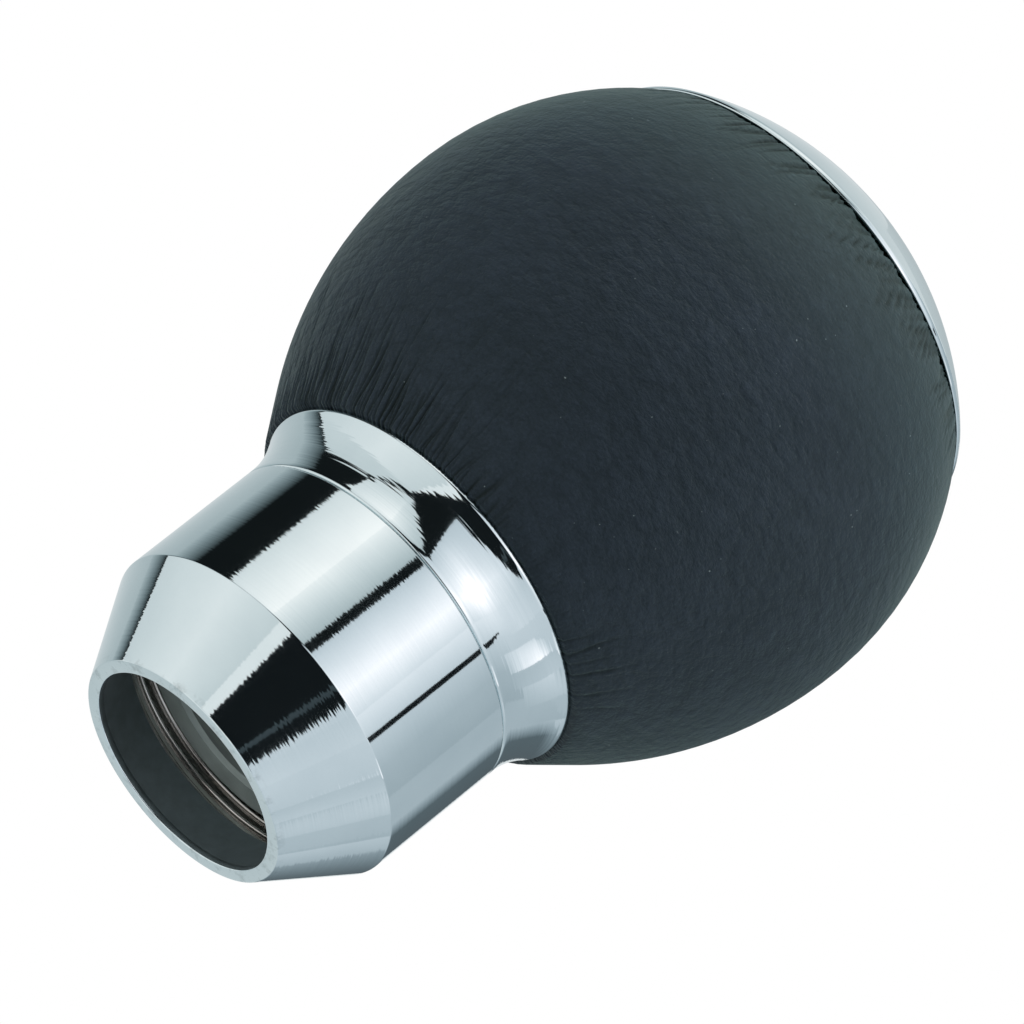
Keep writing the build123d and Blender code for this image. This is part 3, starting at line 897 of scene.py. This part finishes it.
# %% Folds
GATHERS, LOOSE_GATHERS, PUCKERS = 330, 190, 170
DRAWN_SIDE, OTHER_SIDE, LEANING_SIDE = math.radians(-150), math.radians(60), math.radians(-75)
FINE, SOFT, BROAD = (0.08, 0.13), (0.12, 0.20), (0.14, 0.34)
STRONG_CREASES = [(-111, 2.4, 0.10), (-106, 2.8, 0.13), (-100.5, 2.2, 0.16), (-97.5, 3.0, 0.15),
                  (-93, 2.0, 0.12), (-89.5, 2.0, 0.08), (-52, 3.2, 0.07), (-48, 4.6, 0.11),
                  (-44, 4.0, 0.07), (-40, 5.0, 0.10), (-33, 4.4, 0.08), (-27, 4.0, 0.06)]
STRONG_PUCKERS = [(-128, 4.0, 0.12), (-121, 5.0, 0.20), (-117, 4.2, 0.24), (-113.5, 3.6, 0.18),
                  (-97, 3.4, 0.26), (-92, 3.8, 0.15), (-88, 4.2, 0.18), (-84, 3.6, 0.16),
                  (-79, 5.6, 0.20), (-75, 4.4, 0.17), (-71, 5.0, 0.20), (-66, 3.8, 0.16),
                  (-62, 4.6, 0.19), (-57, 4.2, 0.16), (-50, 4.8, 0.19), (-44, 4.0, 0.15)]
FOLD_BINS, FOLD_SEED = 90, 11
DRAWN_FOCUS, OTHER_FOCUS, OTHER_SHARE = 6, 5, 0.4
SLANT, LEANING_SLANT, LEANING_FOCUS = 0.007, 0.036, 4
CREASE_START, PUCKER_START = -0.6, -0.4
GATHER_LENGTH, DRAWN_LENGTH, GATHER_DEPTH, DRAWN_DEPTH = 1.4, 4.0, 0.015, 0.19
LOOSE_DEPTH, PUCKER_LENGTH, PUCKER_REACH = 0.09, 1.4, 5.4

chance = random.Random(FOLD_SEED)


def drawn_at(turn):
    """How tightly the cover is drawn in at a turn round the axis, from 0 to 1."""
    main = ((1 + math.cos(turn - DRAWN_SIDE)) / 2)**DRAWN_FOCUS
    return main + OTHER_SHARE * ((1 + math.cos(turn - OTHER_SIDE)) / 2)**OTHER_FOCUS


def fold(turn, start, length, depth, widths):
    """One furrow: its turn, start and length from the hem, depth, width, slant and sway."""
    slant = chance.uniform(-SLANT, SLANT)
    if widths is BROAD:
        slant -= LEANING_SLANT * max(0.0, math.cos(turn - LEANING_SIDE))**LEANING_FOCUS
    return turn, start, length, depth, chance.uniform(*widths), slant, chance.uniform(0, math.tau)


def ring_of_folds(count, shape_of, widths):
    """Unevenly spaced folds round the axis, each shaped by how tightly the cover is drawn there."""
    turns = [math.tau * (i + chance.uniform(-0.4, 0.4)) / count for i in range(count)]
    return [fold(turn, *shape_of(drawn_at(turn)), widths) for turn in turns]


def gather_shape(drawn):
    """A fold that starts at the neck."""
    length = (GATHER_LENGTH + DRAWN_LENGTH * drawn) * chance.uniform(0.4, 1.5)
    depth = (GATHER_DEPTH + DRAWN_DEPTH * drawn) * chance.uniform(0.3, 1.3)
    return -0.2 * length, 1.2 * length, depth


def loose_shape(drawn):
    """A finer fold that starts further up."""
    start = chance.uniform(1.0, 7.0)
    length = chance.uniform(2.0, 6.0)
    return start, length, LOOSE_DEPTH * drawn * chance.uniform(0.2, 1.2)


def pucker_shape(_drawn):
    """A short fold under the cap, the same all round."""
    length = PUCKER_LENGTH + PUCKER_REACH * chance.uniform(0, 1)**1.5
    return -0.1 * length, 1.1 * length, chance.uniform(0.03, 0.22)


gathers = ring_of_folds(GATHERS, gather_shape, FINE) + ring_of_folds(LOOSE_GATHERS, loose_shape, FINE)
gathers += [fold(math.radians(turn), CREASE_START, length, depth, SOFT)
            for turn, length, depth in STRONG_CREASES]
puckers = ring_of_folds(PUCKERS, pucker_shape, BROAD)
puckers += [fold(math.radians(turn), PUCKER_START, length, depth, BROAD)
            for turn, length, depth in STRONG_PUCKERS]


def in_bins(folds):
    """The folds sorted into equal sectors of the turn, each in all the sectors that it leans across."""
    bins = [[] for _ in range(FOLD_BINS)]
    for one in folds:
        turn, start, length, _, _, slant, _ = one
        ends = [end / math.tau * FOLD_BINS for end in (turn, turn + slant * (start + length))]
        for near in range(math.floor(min(ends)) - 1, math.floor(max(ends)) + 2):
            bins[near % FOLD_BINS].append(one)
    return bins


gather_bins = in_bins(gathers)
pucker_bins = in_bins(puckers)
print("gathers", len(gathers), "puckers", len(puckers))

# %% [markdown]
# The outside is a fine lathe piece whose points are then pushed in along their normals by the folds near
# them. The edge under the cap also wanders down a little, as a trimmed edge does, which leaves an uneven
# dark gap.

# %% Leather skin
LEATHER_STEPS, LEATHER_SLICES = 1692, 36
HEM_LEAST, HEM_MOST, HEM_REACH = 0.06, 0.30, 1.0
LOOSE_SIDE = math.radians(-60)
HEM_WAVES = [(0.9, 4.9), (0.9, 28), (0.3, 84)]
HEM_MEAN, HEM_LIMIT = 0.4, 1.2
SWAY, SWAY_PITCH = 0.10, 1.1
FURROW_REACH, FURROW_SKEW = 2.2, 0.75
GATHER_SHADE, PUCKER_SHADE, SHADE_LIMIT = 5.5, 4.5, 0.9


def fold_depth(bins, turn, radius, distance):
    """Depth in mm of the deepest fold here, at a distance from the hem that the folds start at."""
    deepest = 0.0
    sector = bins[int(turn % math.tau / math.tau * FOLD_BINS)]
    for fold_turn, start, length, depth, width, slant, phase in sector:
        along = (distance - start) / length
        if 0 < along < 1:
            aside = (turn - fold_turn - slant * distance + math.pi) % math.tau - math.pi
            across = (aside * radius + SWAY * math.sin(distance * SWAY_PITCH + phase)) / width
            if abs(across) < FURROW_REACH:
                fading = math.sin(math.pi * along**FURROW_SKEW)
                deepest = max(deepest, depth * math.exp(-across * across) * fading)
    return deepest


bm = bmesh.new()
turn_round(bm, half_section(bm, outline, False), LEATHER_STEPS, LEATHER_SLICES)
bmesh.ops.recalc_face_normals(bm, faces=bm.faces)
bm.normal_update()
outward = [face for face in bm.faces if face.calc_center_median().xy.dot(face.normal.xy) > 0]
if len(outward) < len(bm.faces) / 2:
    bmesh.ops.reverse_faces(bm, faces=bm.faces)
    bm.normal_update()
painted_valley_shade = bm.verts.layers.float.new("painted_valley_shade")
for vert in bm.verts:
    turn = math.atan2(vert.co.y, vert.co.x)
    radius = vert.co.xy.length / MM
    height = vert.co.z / MM
    gather = fold_depth(gather_bins, turn, radius, max(0.0, height - hem_foot))
    pucker = fold_depth(pucker_bins, turn, radius, max(0.0, hem_head - height))
    # the fold depth is kept as painted shade for the valleys
    vert[painted_valley_shade] = min(SHADE_LIMIT, GATHER_SHADE * gather + PUCKER_SHADE * pucker)
    vert.co -= vert.normal * (gather + pucker) * MM
    to_cap = 1 - (hem_head - height) / HEM_REACH
    if to_cap > 0:
        spot = Vector((math.cos(turn), math.sin(turn), 0.3))
        waves = sum(share * noise.noise(spot * pitch) for share, pitch in HEM_WAVES)
        loose = ((1 + math.cos(turn - LOOSE_SIDE)) / 2)**2
        drop = HEM_LEAST + (HEM_MOST - HEM_LEAST) * loose
        vert.co.z -= drop * to_cap * min(HEM_LIMIT, max(0.0, HEM_MEAN + waves)) * MM
print("leather outside", len(bm.faces), "faces")

# %% [markdown]
# A plain inside, with fewer rows, closes the skin. It is bridged to the outside at both hems.

# %% Leather inside
INSIDE_CLEAR, FOOT_RISE, HEAD_DROP, HEM_SEARCH = 1, 0.5, 0.8, 0.95

inner = [point for point in ball_points(SKIN, (1, 2, 2))
         if hem_foot + INSIDE_CLEAR < point[1] < hem_head - INSIDE_CLEAR]
inner_foot = (foot_r + FOOT_TURN[0][0], hem_foot + FOOT_RISE)
inner_head = (head_r + HEAD_TURN[-1][0], hem_head - HEAD_DROP)
inside = half_section(bm, [inner_foot, *inner, inner_head], False)
turn_round(bm, inside, LEATHER_STEPS, LEATHER_SLICES)
for level in (hem_foot, hem_head):
    loops = [edge for edge in bm.edges
             if edge.is_boundary and abs(edge.verts[0].co.z / MM - level) < HEM_SEARCH]
    bmesh.ops.bridge_loops(bm, edges=loops)
cover = add_piece(bm, "leather_skin", leather)
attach(cover, "knob")
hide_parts("leather_cover")
